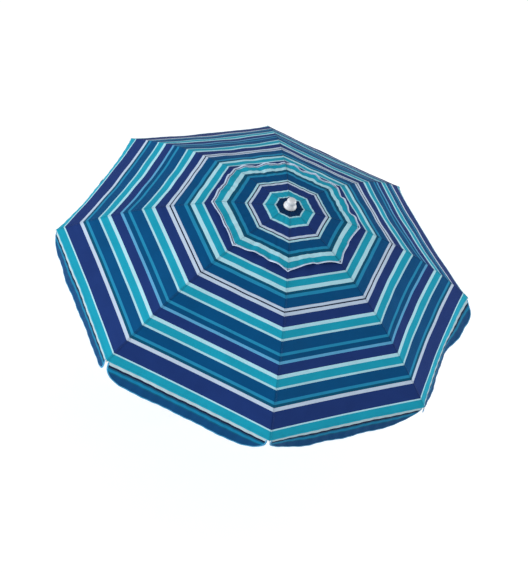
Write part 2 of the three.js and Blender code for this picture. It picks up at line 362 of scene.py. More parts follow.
def clothMaterial(name, main, flap=None, under=False):
    material, tree, shader = newMaterial(
        name, Roughness=0.82, Sheen_Weight=0.015, Sheen_Roughness=0.4, Specular_IOR_Level=0.08)
    uv = add(tree, "ShaderNodeUVMap", uv_map="cloth").outputs["UV"]
    place = add(tree, "ShaderNodeSeparateXYZ", {"Vector": uv})
    across = place.outputs["X"]
    along = place.outputs["Y"]
    colour = stripes(tree, along, printed[main])
    if flap:
        below = stripes(tree, sums(tree, "MULTIPLY", along, -1.0), printed[flap])
        colour = mixColour(tree, sums(tree, "GREATER_THAN", along, 0.0), below, colour)
    # painted shade: the cloth is darkened along the seam over the rib, where it lies a little lower
    fromSeam = sums(tree, "ABSOLUTE", across)
    seam = fade(tree, fromSeam, 0.0012, 0.003, printed["seamShade"], 1.0)
    spots = fade(tree, noiseAt(tree, uv, 9.0, 4.0, 0.6), 0.3, 0.7, 0.93, 1.05)
    warp, weft = (weave(tree, uv, direction) for direction in "XY")
    threads = sums(tree, "MULTIPLY", warp, weft)
    shade = sums(tree, "MULTIPLY", spots, fade(tree, threads, 0, 1, 0.95, 1.03))
    # the random tone and the weave tone are multiplied by the painted seam shade
    shade = sums(tree, "MULTIPLY", seam, shade)
    grey = add(tree, "ShaderNodeCombineXYZ", {0: shade, 1: shade, 2: shade}).outputs[0]
    colour = mixColour(tree, 1.0, colour, grey, "MULTIPLY")
    if under:
        colour = mixColour(tree, printed["underside"], colour, (0.42, 0.5, 0.58, 1))
    tree.links.new(colour, shader.inputs["Base Color"])
    creases = noiseAt(tree, uv, 26.0, 4.0, 0.55)
    height = sums(tree, "ADD", sums(tree, "MULTIPLY", threads, 0.25), creases)
    bump(tree, shader, height, 0.35, 0.0012)
    return material


def plasticMaterial(name, colour, roughness, wear=0.5):
    material, tree, shader = newMaterial(name, IOR=1.48, Coat_Weight=0.12, Coat_Roughness=0.25)
    spot = add(tree, "ShaderNodeTexCoord").outputs["Object"]
    cloud = noiseAt(tree, spot, 24.0, 4.0, 0.6)
    grain = noiseAt(tree, spot, 1400.0, 2.0)
    scuff = fade(tree, noiseAt(tree, spot, 190.0, 5.0, 0.7), 0.58, 0.74, 0.0, wear)
    base = mixColour(tree, fade(tree, cloud, 0.3, 0.7), linear(colour, 0.9), linear(colour, 1.03))
    base = mixColour(tree, sums(tree, "MULTIPLY", scuff, 0.4), base, linear("zinc", 0.8))
    tree.links.new(base, shader.inputs["Base Color"])
    rough = sums(tree, "ADD", fade(tree, cloud, 0.2, 0.8, roughness - 0.06, roughness + 0.06),
                 sums(tree, "MULTIPLY", scuff, 0.3))
    tree.links.new(rough, shader.inputs["Roughness"])
    bump(tree, shader, grain, 0.12, 0.0004)
    return material


def steelMaterial(name, colour, roughness, metal, chips=0.0):
    material, tree, shader = newMaterial(name, Coat_Weight=0.25 if metal < 0.5 else 0.0)
    spot = add(tree, "ShaderNodeTexCoord").outputs["Object"]
    drawn = add(tree, "ShaderNodeMapping", {"Vector": spot, "Scale": (1.0, 1.0, 0.06)}).outputs["Vector"]
    streak = noiseAt(tree, drawn, 420.0, 3.0)
    peel = noiseAt(tree, spot, 900.0, 2.0)
    bare = fade(tree, noiseAt(tree, spot, 95.0, 6.0, 0.75), 0.73 - chips, 0.75 - chips)
    base = mixColour(tree, fade(tree, streak, 0.3, 0.7), linear(colour, 0.92), linear(colour, 1.02))
    base = mixColour(tree, bare, base, linear("zinc", 0.35))
    tree.links.new(base, shader.inputs["Base Color"])
    tree.links.new(sums(tree, "MAXIMUM", bare, metal), shader.inputs["Metallic"])
    rough = fade(tree, streak, 0.2, 0.8, roughness - 0.07, roughness + 0.08)
    tree.links.new(rough, shader.inputs["Roughness"])
    bump(tree, shader, sums(tree, "SUBTRACT", peel, bare), 0.15, 0.0003)
    return material


def threadMaterial(name, colour):
    material, tree, shader = newMaterial(name, Roughness=0.7, Sheen_Weight=0.2)
    spot = add(tree, "ShaderNodeTexCoord").outputs["Object"]
    ply = add(tree, "ShaderNodeTexWave", {"Vector": spot, "Scale": 700.0, "Distortion": 1.0},
              bands_direction="DIAGONAL").outputs["Fac"]
    base = mixColour(tree, ply, linear(colour, 0.75), linear(colour, 1.2))
    tree.links.new(base, shader.inputs["Base Color"])
    bump(tree, shader, ply, 0.4, 0.0002)
    return material


def tapeMaterial(name, colour, rib=0.0016):
    material, tree, shader = newMaterial(name, Roughness=0.8, Sheen_Weight=0.15)
    spot = add(tree, "ShaderNodeTexCoord").outputs["Object"]
    ribs = add(tree, "ShaderNodeTexWave", {
        "Vector": spot, "Scale": 2 * math.pi / (20 * rib), "Distortion": 0.5,
    }, bands_direction="DIAGONAL").outputs["Fac"]
    cloud = noiseAt(tree, spot, 40.0, 4.0)
    base = mixColour(tree, cloud, linear(colour, 0.82), linear(colour, 1.05))
    tree.links.new(base, shader.inputs["Base Color"])
    bump(tree, shader, ribs, 0.4, 0.0003)
    return material


materials = {
    "canopy": clothMaterial("canopyPrint", "main", "flap"),
    "canopyUnder": clothMaterial("canopyPrintInside", "main", "flap", under=True),
    "cap": clothMaterial("ventPrint", "cap"),
    "capUnder": clothMaterial("ventPrintInside", "cap", under=True),
    "binding": tapeMaterial("flapBinding", "lightBlue"),
    "capBinding": tapeMaterial("paleBinding", "lavender"),
    "strap": tapeMaterial("strapWebbing", "navy"),
    "thread": threadMaterial("seamThread", "thread"),
    "paleThread": threadMaterial("hemThread", "paleThread"),
    "plastic": plasticMaterial("whiteMoulding", "plasticWhite", 0.38),
    "bluePlastic": plasticMaterial("blueMoulding", "knobBlue", 0.34, 0.3),
    "steel": steelMaterial("whiteCoatedSteel", "steelWhite", 0.36, 0.0, 0.015),
    "zinc": steelMaterial("zincPlate", "zinc", 0.34, 1.0),
}
print("materials ready:", len(materials))

# Mesh helpers


def makeObject(name, mesh, materialNames, smooth=40):
    for materialName in materialNames:
        mesh.materials.append(materials[materialName])
    mesh.shade_smooth()
    mesh.set_sharp_from_angle(angle=math.radians(smooth))
    made = bpy.data.objects.new(name, mesh)
    bpy.context.scene.collection.objects.link(made)
    return made


def meshFrom(name, points, faces):
    mesh = bpy.data.meshes.new(name)
    mesh.from_pydata([tuple(map(float, point)) for point in points], [], faces)
    mesh.update()
    return mesh


def baked(made):
    # the modifiers' result becomes the mesh itself
    bpy.context.view_layer.update()
    result = bpy.data.meshes.new_from_object(made.evaluated_get(bpy.context.evaluated_depsgraph_get()))
    made.modifiers.clear()
    made.data = result
    return made


def facingOut(made):
    shape = bmesh.new()
    shape.from_mesh(made.data)
    bmesh.ops.recalc_face_normals(shape, faces=shape.faces)
    shape.to_mesh(made.data)
    shape.free()
    return made


def rounded(made, width, angle=40):
    edge = made.modifiers.new("roundedEdges", "BEVEL")
    edge.width = width
    edge.segments = 2
    edge.limit_method = "ANGLE"
    edge.angle_limit = math.radians(angle)
    baked(made)
    made.data.shade_smooth()
    made.data.set_sharp_from_angle(angle=math.radians(angle))
    return made


def turned(name, outline, materialName, sides=80, lobes=0, lobeDepth=0.0, edge=0.0005, smooth=40):
    # outline is a list of (radius, height), from axis to axis or closing on itself
    angles = np.linspace(0, 2 * math.pi, sides, endpoint=False)
    points = []
    rings = []
    for radius, height in outline:
        if radius < 1e-7:
            rings.append([len(points)] * sides)
            points.append((0, 0, height))
            continue
        rings.append(list(range(len(points), len(points) + sides)))
        for angle in angles:
            reach = radius * (1 + lobeDepth * math.cos(lobes * angle))
            points.append((reach * math.cos(angle), reach * math.sin(angle), height))
    hollow = outline[0][0] > 1e-7
    pairs = list(zip(rings, rings[1:] + (rings[:1] if hollow else [])))
    if not hollow:
        pairs = pairs[:len(rings) - 1]
    faces = []
    for low, high in pairs:
        for i in range(sides):
            j = (i + 1) % sides
            corners = list(dict.fromkeys((low[i], low[j], high[j], high[i])))
            if len(corners) > 2:
                faces.append(corners)
    made = makeObject(name, meshFrom(name, points, faces), [materialName], smooth)
    facingOut(made)
    return rounded(made, edge) if edge else made


def refined(node, name, materialName, edge=0.0004):
    # a copy of a CAD piece with merged corners and rounded edges
    shape = bmesh.new()
    shape.from_mesh(frame["nodes"][node].data)
    bmesh.ops.remove_doubles(shape, verts=shape.verts, dist=1e-6)
    bmesh.ops.dissolve_limit(shape, angle_limit=math.radians(0.5), verts=shape.verts, edges=shape.edges)
    mesh = bpy.data.meshes.new(name)
    shape.to_mesh(mesh)
    shape.free()
    return rounded(makeObject(name, mesh, [materialName]), edge)


def smoothLine(points, count):
    # a curve through the points, evenly stepped along its length
    place = np.array(points, float)
    knots = np.concatenate([[0], np.cumsum(np.linalg.norm(np.diff(place, axis=0), axis=1))])
    slope = np.gradient(place, knots, axis=0)
    at = np.linspace(0, knots[-1], count)
    i = np.clip(np.searchsorted(knots, at, "right") - 1, 0, len(place) - 2)
    gap = (knots[i + 1] - knots[i])[:, None]
    u = (at - knots[i])[:, None] / gap
    return ((2 * u**3 - 3 * u**2 + 1) * place[i] + (u**3 - 2 * u**2 + u) * gap * slope[i]
            + (3 * u**2 - 2 * u**3) * place[i + 1] + (u**3 - u**2) * gap * slope[i + 1])


def finish(made, body, slot, *nodes):
    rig.ride(made, body)
    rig.slot(made, slot)
    if nodes:
        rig.replaces(made, *nodes)
    return made


# Geometry Nodes helpers

def newTree(name, sizes):
    tree = bpy.data.node_groups.new(name, "GeometryNodeTree")
    face = tree.interface
    face.new_socket("Geometry", in_out="INPUT", socket_type="NodeSocketGeometry")
    for label, value in sizes.items():
        kind = "NodeSocketInt" if isinstance(value, int) else "NodeSocketFloat"
        face.new_socket(label, in_out="INPUT", socket_type=kind).default_value = value
    face.new_socket("Material", in_out="INPUT", socket_type="NodeSocketMaterial")
    face.new_socket("Geometry", in_out="OUTPUT", socket_type="NodeSocketGeometry")
    return tree, tree.nodes.new("NodeGroupInput"), tree.nodes.new("NodeGroupOutput")


def grown(made, tree, materialName, **sizes):
    # runs a tree on an object and keeps the plain mesh
    modifier = made.modifiers.new(tree.name, "NODES")
    modifier.node_group = tree
    for item in tree.interface.items_tree:
        if item.in_out == "INPUT" and item.name in sizes:
            modifier[item.identifier] = sizes[item.name]
        if item.in_out == "INPUT" and item.name == "Material":
            modifier[item.identifier] = materials[materialName]
    baked(made)
    made.data.shade_smooth()
    return made


def lastSteps(tree, start, end, geometry):
    whole = add(tree, "GeometryNodeRealizeInstances", {"Geometry": geometry})
    finished = add(tree, "GeometryNodeSetMaterial", {
        "Geometry": whole.outputs["Geometry"], "Material": start.outputs["Material"],
    })
    tree.links.new(finished.outputs["Geometry"], end.inputs["Geometry"])


def makeStitchTree():
    # short thread beads along every line of the mesh it is given
    tree, start, end = newTree("stitchRow", {
        "Spacing": 0.0045, "Length": 0.0034, "Thickness": 0.0006, "Seed": 3,
    })
    line = add(tree, "GeometryNodeMeshToCurve", {"Mesh": start.outputs["Geometry"]})
    dots = add(tree, "GeometryNodeCurveToPoints", {
        "Curve": line.outputs["Curve"], "Length": start.outputs["Spacing"],
    }, mode="LENGTH")
    bead = add(tree, "GeometryNodeMeshUVSphere", {"Segments": 6, "Rings": 4, "Radius": 0.5})
    spread = add(tree, "FunctionNodeRandomValue", {2: 0.88, 3: 1.08, "Seed": start.outputs["Seed"]})
    size = add(tree, "ShaderNodeCombineXYZ", {
        "X": start.outputs["Thickness"], "Y": start.outputs["Thickness"],
        "Z": sums(tree, "MULTIPLY", start.outputs["Length"], spread.outputs[1]),
    })
    sewn = add(tree, "GeometryNodeInstanceOnPoints", {
        "Points": dots.outputs["Points"], "Instance": bead.outputs["Mesh"],
        "Rotation": dots.outputs["Rotation"], "Scale": size.outputs["Vector"],
    })
    lastSteps(tree, start, end, sewn.outputs["Instances"])
    return tree


def makeRodTree():
    # a round rod along a line
    tree, start, end = newTree("roundRod", {"Radius": 0.002, "Steps": 90, "Sides": 16})
    line = add(tree, "GeometryNodeMeshToCurve", {"Mesh": start.outputs["Geometry"]})
    even = add(tree, "GeometryNodeResampleCurve", {
        "Curve": line.outputs["Curve"], "Count": start.outputs["Steps"],
    })
    section = add(tree, "GeometryNodeCurvePrimitiveCircle", {
        "Resolution": start.outputs["Sides"], "Radius": start.outputs["Radius"],
    })
    swept = add(tree, "GeometryNodeCurveToMesh", {
        "Curve": even.outputs["Curve"], "Profile Curve": section.outputs["Curve"], "Fill Caps": True,
    })
    lastSteps(tree, start, end, swept.outputs["Mesh"])
    return tree


def makeGripTree():
    # upright ridges round a sleeve
    tree, start, end = newTree("gripRidges", {
        "Count": 36, "Radius": 0.02, "Height": 0.02, "Width": 0.0012, "Middle": 0.0,
    })
    circle = add(tree, "GeometryNodeMeshCircle", {
        "Vertices": start.outputs["Count"], "Radius": start.outputs["Radius"],
    })
    bead = add(tree, "GeometryNodeMeshUVSphere", {"Segments": 8, "Rings": 6, "Radius": 0.5})
    size = add(tree, "ShaderNodeCombineXYZ", {
        "X": start.outputs["Width"], "Y": start.outputs["Width"], "Z": start.outputs["Height"],
    })
    ridges = add(tree, "GeometryNodeInstanceOnPoints", {
        "Points": circle.outputs["Mesh"], "Instance": bead.outputs["Mesh"], "Scale": size.outputs["Vector"],
    })
    lift = add(tree, "ShaderNodeCombineXYZ", {"Z": start.outputs["Middle"]})
    moved = add(tree, "GeometryNodeTransform", {
        "Geometry": ridges.outputs["Instances"], "Translation": lift.outputs["Vector"],
    })
    both = add(tree, "GeometryNodeJoinGeometry")
    tree.links.new(moved.outputs["Geometry"], both.inputs["Geometry"])
    tree.links.new(start.outputs["Geometry"], both.inputs["Geometry"])
    lastSteps(tree, start, end, both.outputs["Geometry"])
    return tree


trees = {"stitch": makeStitchTree(), "rod": makeRodTree(), "grip": makeGripTree()}


def lineObject(name, lines):
    points = []
    edges = []
    for line in lines:
        first = len(points)
        points += [tuple(map(float, point)) for point in line]
        edges += [(i, i + 1) for i in range(first, len(points) - 1)]
    mesh = bpy.data.meshes.new(name)
    mesh.from_pydata(points, edges, [])
    made = bpy.data.objects.new(name, mesh)
    bpy.context.scene.collection.objects.link(made)
    return made


def merged(name, pieces):
    # joins finished meshes into the first one, keeping their materials
    bpy.ops.object.select_all(action="DESELECT")
    for made in pieces:
        made.select_set(True)
    bpy.context.view_layer.objects.active = pieces[0]
    if len(pieces) > 1:
        bpy.ops.object.join()
    pieces[0].name = name
    return pieces[0]


# Canopy: each piece is centred on its rib, from the middle of one panel to the middle of the next
canopy = {
    "ribs": 8,
    "crownAboveRim": 0.326,
    "line": [  # radius and height above the rim, where the cloth lies on a rib
        (0.9, 0.0), (0.82, 0.054), (0.739, 0.106), (0.652, 0.158), (0.572, 0.2),
        (0.476, 0.241), (0.383, 0.275), (0.311, 0.3), (0.236, 0.317),
    ],
    "flapDepth": 0.1,
    "flapCorners": (  # width and height of each flap's rounded lower corners, at its first and second rib
        ((0.085, 0.062), (0.085, 0.062)), ((0.085, 0.062), (0.085, 0.062)),
        ((0.085, 0.062), (0.085, 0.062)), ((0.085, 0.062), (0.085, 0.062)),
        ((0.07, 0.06), (0.06, 0.07)), ((0.09, 0.07), (0.12, 0.08)),
        ((0.12, 0.085), (0.17, 0.095)), ((0.11, 0.09), (0.05, 0.045)),
    ),
    "flapGap": 0.009,
    "leanShares": (0, 0.3, 0.6, 0.82, 1),
    "flapLean": (  # millimetres each hem swings out, at those shares of the panel's width
        (14, 12, 12, 10, 9), (9, 9, 9, 9, 9), (9, 9, 9, 9, 9), (9, 9, 9, 7, 4),
        (0, 2, 3, 1, -3), (6, 9, 11, 2, -10), (-20, -4, 6, -2, -14), (18, 26, 26, 52, 54),
    ),
    "drawnIn": (8, 1, 6, 9, 5, 5, 5, 9),  # millimetres, how far each rim is drawn in between its ribs
    "rolled": (34, 20, 26, 26, 0, 0, 0, 26),  # degrees, how far each rim's border rolls down between its ribs
    "border": 0.036,
    "rimSlope": 33,  # degrees
    "sag": (  # radius, and how far a panel's middle hangs there
        (0.41, 0), (0.48, 0.0027), (0.54, 0.0045), (0.62, 0.0065), (0.7, 0.0048), (0.9, 0.002),
    ),
    "slack": (0.41, 0.62),  # radii between which the cloth grows slack
    "waves": ((0.0011, 2.2, 0.41), (0.0007, 3.7, -0.23)),  # height, waves across, length along
    "pucker": {"height": 0.0011, "reach": 0.03, "start": 0.006, "length": 0.036},
    "ripple": {"height": 0.0007, "reach": 0.028, "start": 0.02, "length": 0.047},
    "sway": ((0.0034, 1.45), (0.0018, 4.2)),  # height and waves across of a flap's hem
    "foldRadius": 0.006,
    "step": 0.008,
    "across": 44,
    "thickness": 0.0008,
    "keep": 0.3,
    "bindingWidth": 0.0055,
    "seamWidth": 0.0068,
    "seed": 21,
}
cap = {
    "line": [
        (0.312, 0.303), (0.254, 0.319), (0.179, 0.3295), (0.103, 0.341), (0.059, 0.3495), (0.011, 0.3515),
    ],
    "step": 0.006,
    "across": 26,
    "hems": (  # for each panel: millimetres drawn in and lifted, place of the first crest, hem print hidden
        (7, 10, 0.18, 9.5), (3, 11, 0.45, 6), (3, 10.5, 0.4, 0), (0, 12, 0.3, 0),
        (4, 10.5, 0.75, 0), (9, 11, 0.41, 9.5), (14, 14, 0.38, 9.5), (13, 9, 0.4, 9.5),
    ),
    "hemWave": 0.0062,
    "hemCrests": 2.4,  # waves between two ribs
    "hemReach": 0.042,
    "sag": {"drop": 0.0016, "radius": 0.25, "spread": 0.07},
    "gathers": {"height": 0.0011, "radius": 0.27, "spread": 0.06, "across": 6.5, "length": 0.03},
    "waves": {"height": 0.0007, "across": 3.1, "length": 0.11},
    "keep": 0.5,
}
rimHeight = joints["canopy_fold"]["pos_m"][2] - canopy["crownAboveRim"]
goreAngle = 2 * math.pi / canopy["ribs"]
chance = np.random.default_rng(canopy["seed"])
phases = chance.uniform(0, 2 * math.pi, (canopy["ribs"], 12))


def profileOf(line, flap=False):
    # distance along the cloth from the rim (below zero on the flap), with radius and height
    places = smoothLine(line, 400)
    if flap:
        fold = canopy["foldRadius"]
        down = np.array([0.0, -1.0])
        inner = places[np.searchsorted(np.linalg.norm(places - places[0], axis=1), fold)]
        u = np.linspace(0, 1, 9)[:, None]
        low = places[0] + down * fold
        bend = (1 - u) ** 2 * low + 2 * u * (1 - u) * places[0] + u**2 * inner
        bottom = places[0] + down * (canopy["flapDepth"] + 0.002)
        places = np.vstack([bottom, bend, places[np.linalg.norm(places - places[0], axis=1) > fold * 1.05]])
    along = np.concatenate([[0], np.cumsum(np.linalg.norm(np.diff(places, axis=0), axis=1))])
    if flap:
        along -= along[5]
    return along, places


canopyProfile = profileOf(canopy["line"], True)
capProfile = profileOf(cap["line"])
vent = canopyProfile[0][-1]
capLength = capProfile[0][-1]


def onProfile(profile, along):
    radius = np.interp(along, profile[0], profile[1][:, 0])
    height = np.interp(along, profile[0], profile[1][:, 1])
    step = 0.004
    outward = (np.interp(along - step, profile[0], profile[1][:, 0])
               - np.interp(along + step, profile[0], profile[1][:, 0]))
    rise = (np.interp(along - step, profile[0], profile[1][:, 1])
            - np.interp(along + step, profile[0], profile[1][:, 1]))
    return radius, height, outward, rise


def overPanel(gore, share, along, lift=0.0, profile=None, crease=None):
    # the place on a panel at a share of its width and a distance along it, raised by lift
    profile = profile or canopyProfile
    crease = crease or canopyCreases
    share, along = np.broadcast_arrays(np.asarray(share, float), np.asarray(along, float))
    radius, height, outward, rise = onProfile(profile, along)
    start = gore * goreAngle
    middle = start + goreAngle / 2
    dip = 4 * share * (1 - share)
    drawIn, drop, wave = crease(gore % canopy["ribs"], share, along, radius, dip)
    x = radius * ((1 - share) * math.cos(start) + share * math.cos(start + goreAngle))
    y = radius * ((1 - share) * math.sin(start) + share * math.sin(start + goreAngle))
    run = outward * math.cos(goreAngle / 2)
    size = np.hypot(run, rise)
    normalOut, normalUp = -rise / size, run / size
    push = wave + lift
    x = x + (normalOut * push - drawIn) * math.cos(middle)
    y = y + (normalOut * push - drawIn) * math.sin(middle)
    z = rimHeight + height + normalUp * push - drop
    return np.stack([x, y, z], axis=-1)


def ramped(value, low, high):
    u = np.clip((value - low) / (high - low), 0, 1)
    return u * u * (3 - 2 * u)


def canopyCreases(gore, share, along, radius, dip):
    phase = phases[gore]
    outer = ramped(radius, *canopy["slack"])
    inside = np.maximum(along, 0)
    below = np.maximum(-along, 0) / canopy["flapDepth"]
    drawIn = canopy["drawnIn"][gore] / 1000 * dip * outer
    leans = canopy["flapLean"][gore]
    stops = canopy["leanShares"]
    lean = leans[0]
    for i in range(len(stops) - 1):
        lean = lean + (leans[i + 1] - leans[i]) * ramped(share, stops[i], stops[i + 1])
    swing = np.arcsin(lean / 1000 / canopy["flapDepth"])
    drawIn = drawIn - canopy["flapDepth"] * below * np.sin(swing)
    slope = math.radians(canopy["rimSlope"])
    roll = math.radians(canopy["rolled"][gore]) * np.sqrt(dip)
    outside = canopy["border"] - inside
    outside = np.where(outside > 0, outside * outside / (outside + 0.01), 0)
    drawIn = drawIn + outside * (math.cos(slope) - np.cos(slope + roll))
    drop = dip * np.interp(radius, *zip(*canopy["sag"]))
    drop = drop + outside * (np.sin(slope + roll) - math.sin(slope))
    drop = drop - canopy["flapDepth"] * below * (1 - np.cos(swing))
    width = 2 * radius * math.sin(goreAngle / 2)
    fromRib = np.minimum(share, 1 - share) * width
    wave = 0
    for i, (height, across, length) in enumerate(canopy["waves"]):
        wave = wave + dip * height * np.sin(2 * math.pi * (across * share + inside / length) + phase[i])
    pucker = canopy["pucker"]
    gathered = np.exp(-fromRib / pucker["reach"]) * (1 - np.exp(-fromRib / pucker["start"]))
    turn = 2 * math.pi * inside / pucker["length"] + phase[2] + 5 * share
    wave = wave + pucker["height"] * gathered * np.sin(turn)
    ripple = canopy["ripple"]
    nearRim = np.exp(-inside / ripple["reach"]) * (1 - np.exp(-fromRib / ripple["start"]))
    turn = 2 * math.pi * share * width / ripple["length"] + phase[3]
    wave = wave + ripple["height"] * nearRim * np.sin(turn)
    for i, (height, across) in enumerate(canopy["sway"]):
        wave = wave + below**1.3 * height * np.sin(2 * math.pi * across * share + phase[4 + i])
    return drawIn, drop, wave


def capCreases(gore, share, along, radius, dip):
    phase = phases[gore]
    pull, lift, crest, _ = cap["hems"][gore]
    hem = np.exp(-along / cap["hemReach"])
    side = np.sqrt(np.maximum(dip, 0))
    drawIn = dip * (pull / 1000 * hem + 0.0015)
    sag = cap["sag"]
    drop = dip * (sag["drop"] * np.exp(-(((radius - sag["radius"]) / sag["spread"]) ** 2)))
    flutter = np.cos(2 * math.pi * cap["hemCrests"] * (share - crest))
    flutter = flutter + 0.3 * np.sin(2 * math.pi * 4.7 * share + phase[7])
    wave = side * hem * (lift / 1000 + cap["hemWave"] * flutter)
    gathers = cap["gathers"]
    near = np.exp(-(((radius - gathers["radius"]) / gathers["spread"]) ** 2))
    turn = 2 * math.pi * gathers["across"] * share + phase[8] + along / gathers["length"]
    wave = wave + gathers["height"] * side * near * np.sin(turn)
    waves = cap["waves"]
    turn = 2 * math.pi * (waves["across"] * share + along / waves["length"]) + phase[9]
    wave = wave + waves["height"] * side * np.sin(turn)
    return drawIn, drop, wave


def clothGrid(rib, rows, shares, places, widthAt, printAt=None):
    # rows run from the outer edge to the pole, columns across the rib. Returns points, faces and their UVs
    points = []
    marks = []
    index = {}
    for i, (along, gapShares) in enumerate(rows):
        for side in (-1, 1):
            gapShare = gapShares and gapShares[side > 0]
            for j, share in enumerate(shares):
                if j == 0 and (side < 0 or gapShare is not None):
                    continue
                if gapShare is not None:
                    share = gapShare + (0.5 - gapShare) * (share - shares[1]) / (0.5 - shares[1])
                gore = rib if side > 0 else rib - 1
                t = share if side > 0 else 1 - share
                index[i, side * j] = len(points)
                points.append((gore, t, along))
                down = printAt(gore, share, along) if printAt else along
                marks.append((side * share * widthAt(along), down))
    points = np.array(points)
    made = np.zeros((len(points), 3))
    for gore in (rib - 1, rib):
        chosen = points[:, 0] == gore
        made[chosen] = places(gore, points[chosen, 1], points[chosen, 2])
    count = len(shares) - 1
    faces = []
    for i in range(len(rows) - 1):
        for j in range(-count, count):
            corners = [index.get(key) for key in ((i, j), (i, j + 1), (i + 1, j + 1), (i + 1, j))]
            if None not in corners:
                faces.append(corners)
    return made, faces, marks


def clothObject(name, grid, materialNames):
    points, faces, marks = grid
    mesh = meshFrom(name, points, faces)
    layer = mesh.uv_layers.new(name="cloth")
    for loop in mesh.loops:
        layer.data[loop.index].uv = marks[loop.vertex_index]
    made = makeObject(name, mesh, materialNames, 60)
    wall = made.modifiers.new("clothThickness", "SOLIDIFY")
    wall.thickness = canopy["thickness"]
    wall.offset = -1
    wall.material_offset = 1
    baked(made)
    made.data.shade_smooth()
    made.data.set_sharp_from_angle(angle=math.radians(60))
    return made


def chordAt(profile):
    def width(along):
        return 2 * math.sin(goreAngle / 2) * float(np.interp(along, profile[0], profile[1][:, 0]))
    return width


canopyWidth = chordAt(canopyProfile)
capWidth = chordAt(capProfile)
rimShare = canopy["flapGap"] / canopyWidth(0)


def flapInset(gore, side, depth):
    # how far a flap's side stays from the rib, rounding the lower corner
    wide, high = canopy["flapCorners"][gore % canopy["ribs"]][0 if side > 0 else 1]
    into = min(1, max(0, depth - canopy["flapDepth"] + high) / high)
    return canopy["flapGap"] + wide * (1 - math.sqrt(1 - into * into))


def canopyRows(rib):
    # distances along the cloth, with how far the cloth stays from the rib on either side
    depth = canopy["flapDepth"]
    rows = []
    for down in list(depth * np.cos(np.linspace(0, 1.35, 26))) + [0.012, 0.006]:
        insets = [flapInset(gore, side, down) for gore, side in ((rib - 1, -1), (rib, 1))]
        rows.append((-down, [inset / canopyWidth(0) for inset in insets]))
    rows += [(-low, [rimShare, rimShare]) for low in (0.003, 0.0015)]
    rows += [(0.0, None), (0.0015, None), (0.003, None), (0.0055, None)]
    count = round((vent - 0.009) / canopy["step"])
    return rows + [(float(along), None) for along in np.linspace(0.009, vent, count)]


def flatCut(profile):
    # the uncut gore: its length down the middle, and the area between the rib seams
    middle = profile[1] * np.array([math.cos(goreAngle / 2), 1])
    lengths = np.linalg.norm(np.diff(middle, axis=0), axis=1)
    widths = 2 * math.sin(goreAngle / 2) * profile[1][:, 0]
    return float(lengths.sum()), float((lengths * (widths[1:] + widths[:-1]) / 2).sum())


def squashed(made, rib, keep):
    turn = rib * goreAngle
    axis = (-math.sin(turn), math.cos(turn), 0)
    anchor = (math.cos(turn), math.sin(turn), rimHeight)
    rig.squash(made, "canopy_fold", axis=axis, anchor=anchor, keep=keep)


def seamStrip(name, gore, alongs, width, lift, profile, crease, materialNames, widthAt):
    # a felled seam: a doubled strip of cloth beside a rib, its two edges lying on the panel
    low = 0.0002
    section = (  # distance from the rib and height
        (0.0004, low), (0.0012, lift), (width * 0.5, lift), (width - 0.0006, lift), (width, low),
    )
    rows = []
    marks = []
    for along in alongs:
        for reach, height in section:
            rows.append(overPanel(gore, reach / widthAt(along), along, height, profile, crease))
            marks.append((reach + 0.004, along))
    columns = len(section)
    faces = []
    for i in range(len(alongs) - 1):
        for j in range(columns - 1):
            a = i * columns + j
            faces.append((a, a + 1, a + columns + 1, a + columns))
    return clothObject(name, (np.array(rows), faces, marks), materialNames)


def edgeTape(name, outer, inner, normals, thickness, materialName):
    # a folded tape round an edge: outer is the edge, inner the tape's other border
    outer, inner, normals = (np.array(values) for values in (outer, inner, normals))
    outward = outer - inner
    outward /= np.linalg.norm(outward, axis=1)[:, None]
    half = thickness / 2
    loop = [inner + normals * half, outer + normals * half, outer + outward * half * 0.9,
            outer - normals * (half + canopy["thickness"]), inner - normals * (half + canopy["thickness"])]
    count = len(outer)
    points = np.vstack(loop)
    sides = len(loop)
    faces = []
    for j in range(sides):
        k = (j + 1) % sides
        for i in range(count - 1):
            faces.append((j * count + i, k * count + i, k * count + i + 1, j * count + i + 1))
    faces.append([j * count for j in range(sides)])
    faces.append([j * count + count - 1 for j in reversed(range(sides))])
    return facingOut(makeObject(name, meshFrom(name, points, faces), [materialName], 50))


def flapEdge(gore, side, inset):
    # the flap's outline from the rim down its side and along to the middle of the panel
    depth = canopy["flapDepth"]
    wide, high = canopy["flapCorners"][gore % canopy["ribs"]][0 if side > 0 else 1]
    straight = np.linspace(0.004, max(0.0045, depth - high), 6)[:-1]
    spots = [(down, flapInset(gore, side, down)) for down in straight]
    spots += [(depth - high + high * math.sin(turn), canopy["flapGap"] + wide * (1 - math.cos(turn)))
              for turn in np.linspace(0.1, math.pi / 2, 18)]
    middle = canopyWidth(0) / 2
    spots += [(depth, across) for across in np.linspace(canopy["flapGap"] + wide, middle, 32)[1:]]
    spots = np.array(spots)
    way = np.gradient(spots, axis=0)
    way /= np.linalg.norm(way, axis=1)[:, None]
    inward = np.stack([-way[:, 1], way[:, 0]], axis=1)
    moved = spots + inset * inward
    share = moved[:, 1] / canopyWidth(0)
    share = np.minimum(share, 0.5)
    return (share if side > 0 else 1 - share), -moved[:, 0]


def surfaceNormal(gore, share, along):
    low = overPanel(gore, share, along)
    high = overPanel(gore, share, along, 0.001)
    way = high - low
    return way / np.linalg.norm(way, axis=-1)[..., None]


